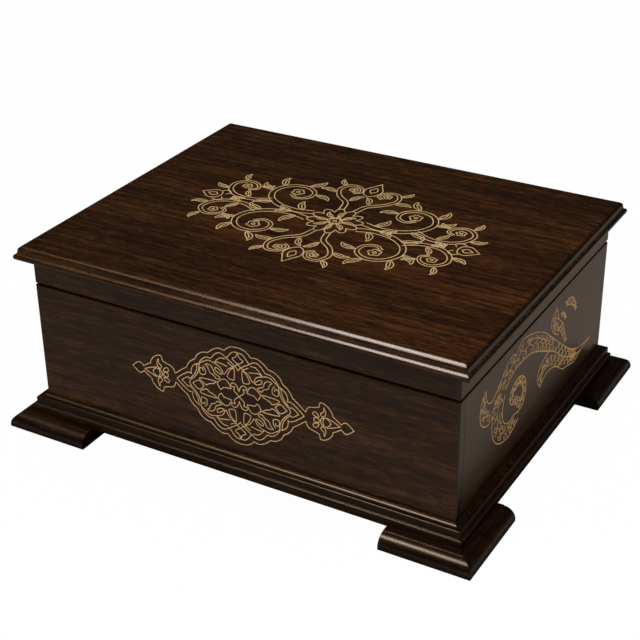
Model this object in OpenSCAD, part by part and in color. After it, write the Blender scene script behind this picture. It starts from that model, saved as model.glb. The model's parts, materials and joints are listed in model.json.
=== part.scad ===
// Wooden book box: four lapped walls on a stepped plinth board, mitred bracket feet,
// a hinged lid of four lapped rim walls under a moulded board, and a velvet lining.
// Millimetres, +Z up, front towards -Y, origin on the table under the middle of the box.

/* [Case] */
// Outer width of the case walls, along X
case_w = 300; // [260:1:380]
// Outer depth of the case walls, along Y
case_d = 235; // [200:1:300]
// Height of the case walls above the plinth board
case_h = 81.4; // [60:0.1:140]
// Thickness of the case and rim walls
wall_t = 12; // [11:0.5:16]
// Thickness of the front and back walls that covers the ends of the side walls
lap_t = 7.5; // [5:0.5:9]
// Radius of the upright outer corners
corner_r = 1.25; // [1:0.25:4]

/* [Lid] */
// Height of the lid rim walls
rim_h = 18.3; // [14:0.1:30]
// Thickness of the lid board
lid_t = 9.6; // [9:0.1:14]
// How far the lid board stands out past the walls
lid_overhang = 8.4; // [7:0.1:14]
// Radius of the round nose along the lid board's lower edge
nose_r = 2.3; // [2:0.1:2.8]
// Radius of the round along the lid board's upper edge
brow_r = 4; // [3.2:0.1:5]
// Width of that round, seen from above
brow_w = 2.8; // [2.2:0.1:3.2]
// Height of that round
brow_drop = 2.1; // [1.6:0.1:2.4]
// How far the round ends behind the front of the nose
brow_setback = 2.5; // [2.2:0.1:3]
// Angle from upright at which the steep face under the round meets the nose
quirk_angle = 8; // [0:1:30]
// Gap between the closed lid and the case
seam_gap = 0.3; // [0.2:0.05:0.6]
// Bevel along the lower edge of the lid rim
rim_bevel = 1.4; // [0.8:0.1:2]
// Bevel along the upper edge of the case
case_bevel = 0.4; // [0.3:0.1:1]

/* [Plinth board] */
// Thickness of the plinth board
plinth_t = 12.4; // [11.6:0.1:16]
// How far the plinth board stands out past the walls
plinth_overhang = 7.1; // [6:0.1:10]
// Height of the lower step of the plinth edge
lower_step_h = 5.7; // [3:0.1:7]
// Height of the upper step's nose above the plinth board's underside
upper_step_h = 10.8; // [9:0.1:11.2]
// How far the upper step is set back from the lower one
step_setback = 1.7; // [1:0.1:2]
// Radius of the round nose of both steps
step_r = 1; // [0.5:0.1:1.4]
// Width of the flat ledge beside the walls
ledge_w = 0.8; // [0.5:0.1:1.5]
// Depth of the fillet under that ledge
ledge_drop = 0.6; // [0.3:0.1:0.8]
// Depth of the hollow in the slope between ledge and upper step
slope_hollow = 0.45; // [0.2:0.05:0.7]

/* [Feet] */
// Height of the bracket feet
foot_h = 10; // [9.5:0.5:16]
// How far the feet stand out past the plinth board
foot_reach = 11.8; // [10:0.1:16]
// Length of the foot brackets along the front and back
foot_face_l = 60; // [45:1:80]
// Length of the foot brackets along the sides
foot_return_l = 65; // [45:1:80]
// Width of the foot brackets, from outer to inner edge
foot_w = 36; // [30:1:44]
// Radius of the large round along the upper outer edge
foot_round_r = 7.5; // [5:0.25:7.75]
// Depth of the shoulder above that round
foot_shoulder = 0.4; // [0.2:0.1:0.7]
// Radius of the small round along the lower outer edge
foot_toe_r = 1.2; // [0.6:0.1:1.5]

/* [Hinges] */
// Length of each hinge, along X
hinge_l = 50; // [40:1:70]
// Distance from the case's end to the middle of its hinge
hinge_inset = 62; // [50:1:80]
// Number of knuckles on each hinge
knuckles = 5; // [3:2:7]
// Outer radius of the knuckles
knuckle_r = 2.2; // [2:0.1:2.6]
// Radius of the hinge pins
pin_r = 1; // [0.8:0.05:1.3]
// Running clearance between a lid leaf's bore and its pin
pin_clearance = 0.05; // [0.02:0.01:0.1]
// Thickness of the hinge leaves
leaf_t = 1.3; // [1:0.1:1.6]
// Wood left between a leaf and the inside of its wall
leaf_margin = 1.5; // [1:0.1:3]
// Distance of the pin line from the back of the case
pin_inset = 1.2; // [0.8:0.1:1.6]
// Angle that the lid opens through
lid_open = 105; // [95:1:115]

/* [Screws] */
// Radius of the hinge screws
hinge_screw_r = 1; // [0.8:0.05:1.2]
// Length of the hinge screws
hinge_screw_l = 9; // [7:0.5:12]
// Number of screws in each hinge leaf
hinge_screw_count = 3; // [2:1:3]
// Radius of the plinth and foot screws
wood_screw_r = 1.75; // [1.5:0.05:2]
// Length of the screws that hold the walls down
wall_screw_l = 26; // [20:1:30]
// Length of the screws that hold the feet up
foot_screw_l = 18; // [15:1:20]
// Distance of the outer hinge screws from the leaf's ends
hinge_screw_inset = 7; // [5:0.5:9]
// Distance of the foot screws from the brackets' square ends
foot_screw_inset = 20; // [12:1:22]
// Distance of the long walls' screws from the middle of the box
wall_screw_x = 62; // [40:1:66]
// Clearance around every screw
screw_clearance = 0.05; // [0.02:0.01:0.1]

/* [Lining] */
// Thickness of the padded board on the floor
floor_pad_t = 4; // [3:0.5:8]
// Thickness of the velvet-covered boards on the walls
wall_lining_t = 1.6; // [1.2:0.1:3]
// Thickness of the padded board inside the lid
lid_pad_t = 3; // [2:0.5:5]
// Bare wood above the wall lining
lining_drop = 6; // [3:0.5:12]
// Clearance around each lining board
lining_gap = 0.3; // [0.2:0.05:0.5]

/* [Hidden] */
$fn = 64;
// Cutters reach this far past the faces that they cut
spare = 1;
walnut = [0.24, 0.14, 0.09];
walnut_edge = [0.28, 0.17, 0.10];
brass = [0.72, 0.56, 0.29];
screw_steel = [0.42, 0.36, 0.26];
velvet = [0.34, 0.05, 0.08];

half_w = case_w / 2;
half_d = case_d / 2;
inner_w = case_w - 2 * wall_t;
inner_d = case_d - 2 * wall_t;
side_l = case_d - 2 * lap_t;
// A moulded edge is drawn this far in, to meet the edge on the other side
core = max(half_w, half_d);

plinth_z = foot_h;
wall_z = plinth_z + plinth_t;
wall_top_z = wall_z + case_h;
rim_z = wall_top_z + seam_gap;
rim_top_z = rim_z + rim_h;
lid_top_z = rim_top_z + lid_t;

// The pin lies where the two back bevels meet, so those bevels stop the open lid
pin_y = half_d - pin_inset;
pin_z = wall_top_z + seam_gap / 2;
stop_slack = 2;
stop_bevel = (lid_open + stop_slack) / 2;
knuckle_l = hinge_l / knuckles;
knuckle_gap = 0.3;
barrel_r = knuckle_r + 0.25;
hinge_xs = [-half_w + hinge_inset, half_w - hinge_inset];
pin_head_t = 0.8;
pin_head_r = 1.8;
leaf_w = wall_t - pin_inset - leaf_margin;
leaf_fit = 0.1;

hinge_screw_y = (leaf_w + barrel_r) / 2;
hinge_screw_step = (hinge_l - 2 * hinge_screw_inset) / (hinge_screw_count - 1);
slot_w = 0.6;
slot_depth = 0.5;

foot_out = plinth_overhang + foot_reach;
wall_screw_inset = wall_t / 2;

// Runs a YZ section, drawn with Y to the right, along X
module along_x(length)
    rotate([90, 0, 90]) translate([0, 0, -length / 2]) linear_extrude(length) children();

// Runs an XZ section, drawn with X to the right, along Y
module along_y(length)
    rotate([90, 0, 0]) translate([0, 0, -length / 2]) linear_extrude(length) children();

// Section of a board with the same edge on both sides; the edge is drawn outward from x = 0
module edged_section(half) {
    translate([half, 0]) children();
    mirror([1, 0]) translate([half, 0]) children();
}

// Board with its edge run round all four sides and mitred at the corners
module moulded_board(out) {
    intersection() {
        along_x(case_w + 2 * out) edged_section(half_d) children();
        along_y(case_d + 2 * out) edged_section(half_w) children();
    }
}

// Rectangle with round corners, centred
module round_rectangle(w, d, r) {
    square([w - 2 * r, d], center = true);
    square([w, d - 2 * r], center = true);
    for (sx = [-1, 1], sy = [-1, 1])
        translate([sx * (w / 2 - r), sy * (d / 2 - r)]) circle(r);
}

// Edge of the lid board: flat round brow, steep face under it, round nose
module lid_edge() {
    brow_end = [lid_overhang - brow_setback, lid_t - brow_drop];
    brow_start = [brow_end[0] - brow_w, lid_t];
    chord = norm([brow_w, brow_drop]);
    facing = [brow_drop, brow_w] / chord;
    brow_at = (brow_start + brow_end) / 2 - facing * sqrt(pow(brow_r, 2) - pow(chord / 2, 2));
    nose = [lid_overhang - nose_r, nose_r];
    quirk = nose + nose_r * [sin(quirk_angle), cos(quirk_angle)];
    translate([-core, 0]) square([core + nose[0], nose_r]);
    translate(nose) circle(nose_r);
    polygon([[-core, nose[1]], nose, quirk, brow_end, [-core, brow_end[1]]]);
    translate([-core, brow_end[1]]) square([core + brow_start[0], brow_drop]);
    intersection() {
        translate(brow_at) circle(brow_r);
        translate([brow_start[0], brow_end[1]]) square([brow_w, brow_drop]);
    }
}

// Edge of the plinth board: lower step, upper step, hollow slope, ledge
module plinth_edge() {
    upper_x = plinth_overhang - step_setback;
    slope_from = [ledge_w, plinth_t - ledge_drop];
    slope_to = [upper_x - step_r, upper_step_h];
    run = slope_to - slope_from;
    chord = norm(run);
    hollow_r = chord * chord / (8 * slope_hollow) + slope_hollow / 2;
    up = [-run[1], run[0]] / chord;
    hollow_at = (slope_from + slope_to) / 2 + up * (hollow_r - slope_hollow);
    translate([-core, 0]) square([core + plinth_overhang, lower_step_h - step_r]);
    translate([-core, 0]) square([core + plinth_overhang - step_r, lower_step_h]);
    translate([plinth_overhang - step_r, lower_step_h - step_r]) circle(step_r);
    translate([-core, 0]) square([core + upper_x, upper_step_h - step_r]);
    translate([upper_x - step_r, upper_step_h - step_r]) circle(step_r);
    translate([-core, 0]) square([core + ledge_w, plinth_t]);
    difference() {
        polygon([[0, 0], [slope_to[0], 0], slope_to, slope_from, [0, slope_from[1]]]);
        translate(hollow_at) circle(hollow_r);
    }
}

// Section of a foot bracket: x runs from its inner edge out to its toe
module foot_section() {
    round_at = [foot_w - foot_round_r, foot_h - foot_shoulder - foot_round_r];
    square([round_at[0], foot_h]);
    square([foot_w - foot_toe_r, round_at[1]]);
    translate([0, foot_toe_r]) square([foot_w, round_at[1] - foot_toe_r]);
    translate([foot_w - foot_toe_r, foot_toe_r]) circle(foot_toe_r);
    intersection() {
        translate(round_at) circle(foot_round_r);
        translate(round_at) square(foot_round_r);
    }
}

// Countersunk wood screw: its head's flat face lies on z = 0 and its tip points to -Z
module screw(r, length) {
    difference() {
        union() {
            translate([0, 0, -r]) cylinder(h = r, r1 = r, r2 = 2 * r);
            translate([0, 0, -length + r]) cylinder(h = length - r, r = r);
            translate([0, 0, -length]) cylinder(h = r, r1 = r / 5, r2 = r);
        }
        translate([-2 * r, -slot_w / 2, -slot_depth]) cube([4 * r, slot_w, slot_depth + spare]);
    }
}

// Hole that such a screw sits in
module screw_hole(r, length) {
    hole_r = r + screw_clearance;
    translate([0, 0, -r]) cylinder(h = r, r1 = hole_r, r2 = hole_r + r);
    cylinder(h = spare, r = hole_r + r);
    translate([0, 0, -length - screw_clearance]) cylinder(h = length, r = hole_r);
}

// Copies its child to every screw of both hinges, turned so that the pin line is x
module at_hinge_screws()
    for (x = hinge_xs, i = [0 : hinge_screw_count - 1])
        translate([x + (i - (hinge_screw_count - 1) / 2) * hinge_screw_step, pin_y - hinge_screw_y, 0])
            children();

// Heads face up, flush with the case leaves
module at_case_hinge_screws()
    at_hinge_screws() translate([0, 0, wall_top_z]) children();

// Heads face down, flush with the lid leaves
module at_lid_hinge_screws()
    at_hinge_screws() translate([0, 0, rim_z]) rotate([180, 0, 0]) children();

// Screws from below, through the plinth board and up into the walls
module at_wall_screws() {
    for (sx = [-1, 1], sy = [-1, 1])
        translate([sx * wall_screw_x, sy * (half_d - wall_screw_inset), plinth_z])
            rotate([180, 0, 0]) children();
    for (sx = [-1, 1])
        translate([sx * (half_w - wall_screw_inset), 0, plinth_z]) rotate([180, 0, 0]) children();
}

// Outer form of a ring of walls, from z = 0 up to the seam and its bevel
module wall_ring(h, bevel)
    intersection() {
        linear_extrude(h) round_rectangle(case_w, case_d, corner_r);
        along_x(case_w + 2 * spare) bevelled_section(half_d, h, bevel);
        along_y(case_d + 2 * spare) bevelled_section(half_w, h, bevel);
    }

module bevelled_section(half, h, bevel)
    polygon([
        [-half, 0], [half, 0], [half, h - bevel], [half - bevel, h],
        [-half + bevel, h], [-half, h - bevel]
    ]);

// Plan of a long wall: full width, with a rabbet at each end for a side wall
module long_wall_plan()
    difference() {
        translate([-half_w, -half_d]) square([case_w, wall_t]);
        for (sx = [-1, 1])
            translate([sx * (half_w - wall_t / 2), -half_d + lap_t + wall_t / 2])
                square([wall_t, wall_t], center = true);
    }

// Plan of a side wall: its ends sit in the long walls' rabbets
module side_wall_plan()
    translate([-half_w, -side_l / 2]) square([wall_t, side_l]);

// The walls of the ring that lie over the plan given as child
module wall_of(h, bevel)
    intersection() {
        wall_ring(h, bevel);
        linear_extrude(h) children();
    }

// The case's walls have the seam along their top edge
module case_wall()
    translate([0, 0, wall_z]) wall_of(case_h, case_bevel) children();

// The lid rim's walls have it along their bottom edge
module rim_wall()
    translate([0, 0, rim_top_z]) mirror([0, 0, 1]) wall_of(rim_h, rim_bevel) children();

// Bevel that both sides of the back seam share, from the pin line outward
module stop_cut(side) {
    reach = 3 * pin_inset;
    translate([0, pin_y, pin_z]) mirror([0, 0, side > 0 ? 0 : 1])
        along_x(case_w + 2 * spare)
            polygon([[0, 0], [reach, -reach * tan(stop_bevel)], [reach, reach], [0, reach]]);
}

// Room for the knuckles and one leaf of each hinge; side is 1 in the case and -1 in the lid
module hinge_mortises(side)
    for (x = hinge_xs) translate([x, pin_y, pin_z]) {
        rotate([0, 90, 0]) cylinder(h = hinge_l + 2 * (pin_head_t + leaf_fit), r = barrel_r, center = true);
        mirror([0, 0, side > 0 ? 0 : 1])
            translate([-hinge_l / 2 - leaf_fit, -leaf_w - leaf_fit, -seam_gap / 2 - leaf_t])
                cube([hinge_l + 2 * leaf_fit, leaf_w + leaf_fit, leaf_t + spare]);
    }

// One hinge leaf around the pin line, with every second knuckle from the first one named
module hinge_leaf(first_knuckle, bore_r) {
    middle = (knuckles - 1) / 2;
    difference() {
        union() {
            difference() {
                translate([-hinge_l / 2, -leaf_w, -seam_gap / 2 - leaf_t]) cube([hinge_l, leaf_w, leaf_t]);
                rotate([0, 90, 0]) cylinder(h = hinge_l + spare, r = barrel_r, center = true);
            }
            for (i = [first_knuckle : 2 : knuckles - 1]) translate([(i - middle) * knuckle_l, 0, 0]) {
                rotate([0, 90, 0]) cylinder(h = knuckle_l - knuckle_gap, r = knuckle_r, center = true);
                translate([-(knuckle_l - knuckle_gap) / 2, -barrel_r - spare, -seam_gap / 2 - leaf_t])
                    cube([knuckle_l - knuckle_gap, barrel_r + spare, leaf_t]);
            }
        }
        rotate([0, 90, 0]) cylinder(h = hinge_l + spare, r = bore_r, center = true);
        for (i = [0 : hinge_screw_count - 1])
            translate([(i - (hinge_screw_count - 1) / 2) * hinge_screw_step, -hinge_screw_y, -seam_gap / 2])
                screw_hole(hinge_screw_r, hinge_screw_l);
    }
}

module case_leaf(x)
    color(brass) translate([x, pin_y, pin_z]) hinge_leaf(0, pin_r + pin_clearance / 2);

module lid_leaf(x)
    color(brass) translate([x, pin_y, pin_z]) mirror([0, 0, 1]) hinge_leaf(1, pin_r + pin_clearance);

module hinge_pin(x) {
    head_x = hinge_l / 2 - knuckle_gap / 2;
    color(brass) translate([x, pin_y, pin_z]) rotate([0, 90, 0]) {
        cylinder(h = hinge_l - knuckle_gap, r = pin_r, center = true);
        for (s = [0, 1]) mirror([0, 0, s]) translate([0, 0, head_x]) cylinder(h = pin_head_t, r = pin_head_r);
    }
}

module front_wall()
    color(walnut) difference() {
        case_wall() long_wall_plan();
        at_wall_screws() screw_hole(wood_screw_r, wall_screw_l);
    }

module back_wall()
    color(walnut) difference() {
        case_wall() mirror([0, 1]) long_wall_plan();
        stop_cut(1);
        hinge_mortises(1);
        at_case_hinge_screws() screw_hole(hinge_screw_r, hinge_screw_l);
        at_wall_screws() screw_hole(wood_screw_r, wall_screw_l);
    }

module side_wall(side)
    color(walnut) difference() {
        case_wall() mirror([side > 0 ? 1 : 0, 0]) side_wall_plan();
        at_wall_screws() screw_hole(wood_screw_r, wall_screw_l);
    }

module plinth_board()
    color(walnut_edge) difference() {
        translate([0, 0, plinth_z]) moulded_board(plinth_overhang) plinth_edge();
        at_wall_screws() screw_hole(wood_screw_r, wall_screw_l);
        foot_screw_holes();
    }

// Puts a front bracket's copy on the side of the box that sx and sy name
module at_corner(sx, sy)
    mirror([sx > 0 ? 1 : 0, 0, 0]) mirror([0, sy > 0 ? 1 : 0, 0]) children();

// Moves to the toe of the front left corner; turned is 1 for the bracket along the side, else 0
module at_toe(turned)
    translate([-half_w - foot_out, -half_d - foot_out, 0]) mirror([turned, -turned, 0]) children();

// Place of the screw in a bracket of that length, from its toe
function foot_screw_at(length) = [length - foot_screw_inset, foot_w / 2, 0];

// Bracket that runs along X from the toe, mitred at the toe
module bracket(length)
    difference() {
        intersection() {
            rotate([90, 0, 90]) linear_extrude(length) translate([foot_w, 0]) mirror([1, 0]) foot_section();
            linear_extrude(foot_h) polygon([[0, 0], [length, 0], [length, foot_w], [foot_w, foot_w]]);
        }
        translate(foot_screw_at(length)) rotate([180, 0, 0]) screw_hole(wood_screw_r, foot_screw_l);
    }

// Copies its child to every foot screw, turned to point up
module at_foot_screws()
    for (sx = [-1, 1], sy = [-1, 1], turned = [0, 1]) at_corner(sx, sy) at_toe(turned)
        translate(foot_screw_at(turned == 1 ? foot_return_l : foot_face_l)) rotate([180, 0, 0]) children();

module foot_screw_holes()
    at_foot_screws() screw_hole(wood_screw_r, foot_screw_l);

module foot_face(sx, sy)
    color(walnut_edge) at_corner(sx, sy) at_toe(0) bracket(foot_face_l);

module foot_return(sx, sy)
    color(walnut_edge) at_corner(sx, sy) at_toe(1) bracket(foot_return_l);

module lid_board()
    color(walnut_edge) translate([0, 0, rim_top_z]) moulded_board(lid_overhang) lid_edge();

module lid_rim_front()
    color(walnut) rim_wall() long_wall_plan();

module lid_rim_back()
    color(walnut) difference() {
        rim_wall() mirror([0, 1]) long_wall_plan();
        stop_cut(-1);
        hinge_mortises(-1);
        at_lid_hinge_screws() screw_hole(hinge_screw_r, hinge_screw_l);
    }

module lid_rim_side(side)
    color(walnut) rim_wall() mirror([side > 0 ? 1 : 0, 0]) side_wall_plan();

module hinge_case_screws()
    color(brass) at_case_hinge_screws() screw(hinge_screw_r, hinge_screw_l);

module hinge_lid_screws()
    color(brass) at_lid_hinge_screws() screw(hinge_screw_r, hinge_screw_l);

module wall_screws()
    color(screw_steel) at_wall_screws() screw(wood_screw_r, wall_screw_l);

module foot_screws()
    color(screw_steel) at_foot_screws() screw(wood_screw_r, foot_screw_l);

// Velvet-covered board that fills a rectangle, less the lining's clearance
module lining_board(size)
    color(velvet) translate([-size[0] / 2 + lining_gap, -size[1] / 2 + lining_gap, 0])
        cube([size[0] - 2 * lining_gap, size[1] - 2 * lining_gap, size[2]]);

module floor_pad()
    translate([0, 0, wall_z]) lining_board([inner_w, inner_d, floor_pad_t]);

module lid_pad()
    translate([0, 0, rim_top_z - lid_pad_t]) lining_board([inner_w, inner_d, lid_pad_t]);

wall_lining_z = wall_z + floor_pad_t;
wall_lining_h = case_h - floor_pad_t - lining_drop;

// The long linings run the full inner width, and the side linings fit between them
module lining_long(side)
    color(velvet) translate([-inner_w / 2 + lining_gap, 0, wall_lining_z]) mirror([0, side > 0 ? 1 : 0, 0])
        translate([0, -inner_d / 2, 0]) cube([inner_w - 2 * lining_gap, wall_lining_t, wall_lining_h]);

module lining_side(side) {
    length = inner_d - 2 * wall_lining_t - 2 * lining_gap;
    color(velvet) translate([0, -length / 2, wall_lining_z]) mirror([side > 0 ? 1 : 0, 0, 0])
        translate([-inner_w / 2, 0, 0]) cube([wall_lining_t, length, wall_lining_h]);
}

front_wall();
back_wall();
side_wall(-1);  // left_wall
side_wall(1);  // right_wall
plinth_board();
foot_face(-1, -1);  // foot_front_left_face
foot_return(-1, -1);  // foot_front_left_return
foot_face(1, -1);  // foot_front_right_face
foot_return(1, -1);  // foot_front_right_return
foot_face(-1, 1);  // foot_back_left_face
foot_return(-1, 1);  // foot_back_left_return
foot_face(1, 1);  // foot_back_right_face
foot_return(1, 1);  // foot_back_right_return
lid_board();
lid_rim_front();
lid_rim_back();
lid_rim_side(-1);  // lid_rim_left
lid_rim_side(1);  // lid_rim_right
case_leaf(hinge_xs[0]);  // hinge_left_case_leaf
lid_leaf(hinge_xs[0]);  // hinge_left_lid_leaf
hinge_pin(hinge_xs[0]);  // hinge_left_pin
case_leaf(hinge_xs[1]);  // hinge_right_case_leaf
lid_leaf(hinge_xs[1]);  // hinge_right_lid_leaf
hinge_pin(hinge_xs[1]);  // hinge_right_pin
hinge_case_screws();
hinge_lid_screws();
wall_screws();
foot_screws();
floor_pad();
lining_long(-1);  // lining_front
lining_long(1);  // lining_back
lining_side(-1);  // lining_left
lining_side(1);  // lining_right
lid_pad();
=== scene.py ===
"""Looks of a dark walnut book box with gold line ornament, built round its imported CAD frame."""

import json
import math

import bmesh
import bpy
from mathutils import Matrix, Vector


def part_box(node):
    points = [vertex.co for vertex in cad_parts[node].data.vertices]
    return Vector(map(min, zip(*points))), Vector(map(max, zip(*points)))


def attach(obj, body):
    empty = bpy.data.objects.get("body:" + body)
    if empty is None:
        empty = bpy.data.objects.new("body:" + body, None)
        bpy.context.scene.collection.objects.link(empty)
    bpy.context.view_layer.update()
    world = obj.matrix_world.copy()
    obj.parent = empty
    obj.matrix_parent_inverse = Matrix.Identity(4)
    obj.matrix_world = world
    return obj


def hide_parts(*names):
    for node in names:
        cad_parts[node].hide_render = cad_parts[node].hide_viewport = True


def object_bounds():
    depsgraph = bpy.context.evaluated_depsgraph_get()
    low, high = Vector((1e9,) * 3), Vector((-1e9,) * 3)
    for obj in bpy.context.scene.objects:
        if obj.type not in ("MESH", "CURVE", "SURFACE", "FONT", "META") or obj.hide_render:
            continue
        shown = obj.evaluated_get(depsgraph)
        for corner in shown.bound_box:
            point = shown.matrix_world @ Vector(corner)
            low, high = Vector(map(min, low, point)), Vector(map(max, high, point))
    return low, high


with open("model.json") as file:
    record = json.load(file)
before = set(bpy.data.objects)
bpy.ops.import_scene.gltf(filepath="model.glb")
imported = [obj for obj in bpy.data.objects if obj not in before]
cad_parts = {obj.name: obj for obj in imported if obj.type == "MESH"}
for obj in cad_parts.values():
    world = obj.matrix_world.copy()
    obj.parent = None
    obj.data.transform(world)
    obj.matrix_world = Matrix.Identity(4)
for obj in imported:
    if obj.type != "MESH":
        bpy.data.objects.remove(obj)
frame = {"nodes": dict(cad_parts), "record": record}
cad_low, cad_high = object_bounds()

MM = 0.001

WHITE = (1, 1, 1)
BLACK = (0, 0, 0)

# First letters of the CAD nodes that make up the base, and of those seen from below
BASE = ("plinth", "foot_")
UNDERSIDE = BASE + ("wall_screws",)


class Graph:
    """A new material's nodes; most helpers add a node and return the socket to go on from."""

    # A Mix node has sockets for each kind of value; these are the numbers of its colour ones
    MIX_FIRST = 6
    MIX_SECOND = 7
    MIX_RESULT = 2

    def __init__(self, name):
        self.material = bpy.data.materials.new(name)
        self.material.use_nodes = True
        self.tree = self.material.node_tree
        self.tree.nodes.clear()
        self.output = self.tree.nodes.new("ShaderNodeOutputMaterial")

    def node(self, kind, inputs=None, **settings):
        """A node of some kind, with its settings and with its inputs set or linked."""
        made = self.tree.nodes.new("ShaderNode" + kind)
        for key, value in settings.items():
            setattr(made, key, value)
        for key, value in (inputs or {}).items():
            self.feed(made.inputs[key], value)
        return made

    def feed(self, socket, value):
        """Links a socket to another one, or sets its value."""
        if isinstance(value, bpy.types.NodeSocket):
            self.tree.links.new(value, socket)
        else:
            socket.default_value = value

    def surface(self, shader):
        """Joins a shader to the material's output."""
        self.feed(self.output.inputs["Surface"], shader)

    def principled(self, inputs):
        """Ends the material in a Principled shader."""
        self.surface(self.node("BsdfPrincipled", inputs).outputs["BSDF"])

    def diffuse(self, colour):
        return self.node("BsdfDiffuse", {"Color": colour}).outputs["BSDF"]

    def place(self):
        """Where a point lies in its own object, in metres."""
        return self.node("TexCoord").outputs["Object"]

    def noise(self, vector, scale, detail=3.0, roughness=0.5):
        """Soft noise between 0 and 1."""
        inputs = {"Vector": vector, "Scale": scale, "Detail": detail, "Roughness": roughness}
        return self.node("TexNoise", inputs).outputs["Fac"]

    def ramp(self, factor, stops):
        """Colours along a factor, from stops in rising order."""
        made = self.node("ValToRGB", {"Fac": factor})
        elements = made.color_ramp.elements
        while len(elements) < len(stops):
            elements.new(0.5)
        for element, (spot, colour) in zip(elements, stops):
            element.position = spot
            element.color = (*colour, 1)
        return made.outputs["Color"]

    def math(self, operation, first, second=0.0):
        return self.node("Math", {0: first, 1: second}, operation=operation).outputs["Value"]

    def weighed(self, parts):
        """Sum of values, each times its weight."""
        total = 0.0
        for value, weight in parts:
            total = self.math("ADD", total, self.math("MULTIPLY", value, weight))
        return total

    def spread(self, value, low, high, start=0.0, end=1.0):
        """Carries a value from the range start to end over to the range low to high, and holds it there."""
        inputs = {"Value": value, "From Min": start, "From Max": end, "To Min": low, "To Max": high}
        return self.node("MapRange", inputs).outputs["Result"]

    def added(self, first, second):
        """Sum of two vectors."""
        return self.node("VectorMath", {0: first, 1: second}, operation="ADD").outputs["Vector"]

    def scaled(self, vector, factor):
        """A vector or colour times a factor."""
        return self.node("VectorMath", {0: vector, "Scale": factor}, operation="SCALE").outputs["Vector"]

    def stretched(self, vector, scale):
        """A vector with a factor of its own on each axis."""
        return self.node("Mapping", {"Vector": vector, "Scale": scale}).outputs["Vector"]

    def mixed_colour(self, factor, first, second):
        inputs = {"Factor": factor, self.MIX_FIRST: first, self.MIX_SECOND: second}
        return self.node("Mix", inputs, data_type="RGBA").outputs[self.MIX_RESULT]

    def mixed_shader(self, factor, first, second):
        return self.node("MixShader", {"Fac": factor, 1: first, 2: second}).outputs["Shader"]

    def bump(self, height, strength, depth, normal=None):
        """Normals of a fine relief, on top of other normals if there are any."""
        made = self.node("Bump", {"Height": height, "Strength": strength, "Distance": depth})
        if normal is not None:
            self.feed(made.inputs["Normal"], normal)
        return made.outputs["Normal"]


# Walnut's figure: scale of each noise along and across the grain, per metre, its detail and its roughness
BROAD = (2.6, 26.0, 3.0, 0.5)
STREAK = (14.0, 260.0, 4.0, 0.6)
FINE = (55.0, 850.0, 3.0, 0.6)
FLECK = (150.0, 640.0, 2.0, 0.6)
PORE = (110.0, 1400.0, 2.0, 0.5)

# How much each of them weighs in the wood's tone, and the pores in its stain and its relief
BROAD_WEIGHT = 0.26
STREAK_WEIGHT = 0.42
FINE_WEIGHT = 0.32
FLECK_WEIGHT = 0.3
PORE_STAIN = 0.55
PORE_RELIEF = -0.8

# Noise up to which a pore is full, and from which there is none
PORE_STOPS = [(0.30, WHITE), (0.40, BLACK)]

# Stain by tone, and where pores or end grain have soaked it up
STAIN = [
    (0.38, (0.0125, 0.0038, 0.0008)),
    (0.47, (0.0290, 0.0095, 0.0021)),
    (0.53, (0.0490, 0.0166, 0.0036)),
    (0.62, (0.0990, 0.0352, 0.0080)),
]
SOAKED_STAIN = (0.004, 0.0018, 0.001, 1)

# Share of soaked stain on end grain, and the normal's part along the grain at which it starts and is full
END_GRAIN_STAIN = 0.8
END_GRAIN_START = 0.25
END_GRAIN_FULL = 0.75

# How far each board's figure is moved at most and how far it sways, in metres, and the sway's scale
BOARD_SHIFT = (3.1, 1.7, 1.0)
SWAY = 0.012
SWAY_SCALE = 5.0

# How much rougher the lacquer is over the palest streaks
SATIN = 0.07


def swaying_place(graph):
    """A point's place, moved by another step in each board and swaying a little."""
    chance = graph.node("ObjectInfo").outputs["Random"]
    moved = graph.added(graph.place(), graph.scaled(BOARD_SHIFT, chance))
    sway = graph.node("TexNoise", {"Vector": moved, "Scale": SWAY_SCALE, "Detail": 2.0}).outputs["Color"]
    return graph.added(moved, graph.scaled(sway, SWAY))


def end_grain(graph, grain):
    """How much stain a face soaks up: the more, the nearer its normal lies to the grain."""
    normal = graph.node("TexCoord").outputs["Normal"]
    along = graph.math("ABSOLUTE", graph.node("SeparateXYZ", {"Vector": normal}).outputs[grain])
    return graph.spread(along, 0.0, END_GRAIN_STAIN, start=END_GRAIN_START, end=END_GRAIN_FULL)


def walnut(name, grain, edge, rough, depth=1.0):
    """Dark stained walnut under lacquer.

    grain is the axis of its fibres, edge the softness of its corners in millimetres, rough the least
    roughness of the lacquer, and depth a factor on the colour of the stain, below 1 for painted shade.
    """
    graph = Graph(name)
    place = swaying_place(graph)

    def fibres(along, across, detail, roughness):
        scale = [across] * 3
        scale["XYZ".index(grain)] = along
        return graph.noise(graph.stretched(place, scale), 1.0, detail, roughness)

    broad = fibres(*BROAD)
    streak = fibres(*STREAK)
    fine = fibres(*FINE)
    fleck = graph.math("SUBTRACT", fibres(*FLECK), 0.5)
    pores = graph.ramp(fibres(*PORE), PORE_STOPS)
    weights = [(broad, BROAD_WEIGHT), (streak, STREAK_WEIGHT), (fine, FINE_WEIGHT), (fleck, FLECK_WEIGHT)]
    # A depth below 1 darkens the stain as painted shade
    stops = [(tone, [depth * part for part in colour]) for tone, colour in STAIN]
    colour = graph.ramp(graph.weighed(weights), stops)
    soaked = graph.math("MAXIMUM", graph.math("MULTIPLY", pores, PORE_STAIN), end_grain(graph, grain))
    soft_edge = graph.node("Bevel", {"Radius": edge * MM}, samples=8).outputs["Normal"]
    relief = graph.weighed([(fine, 1.0), (pores, PORE_RELIEF)])
    graph.principled(
        {
            "Base Color": graph.mixed_colour(soaked, colour, SOAKED_STAIN),
            "Roughness": graph.spread(streak, rough, rough + SATIN),
            "Normal": graph.bump(relief, strength=0.12, depth=0.1 * MM, normal=soft_edge),
        }
    )
    return graph.material


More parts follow.
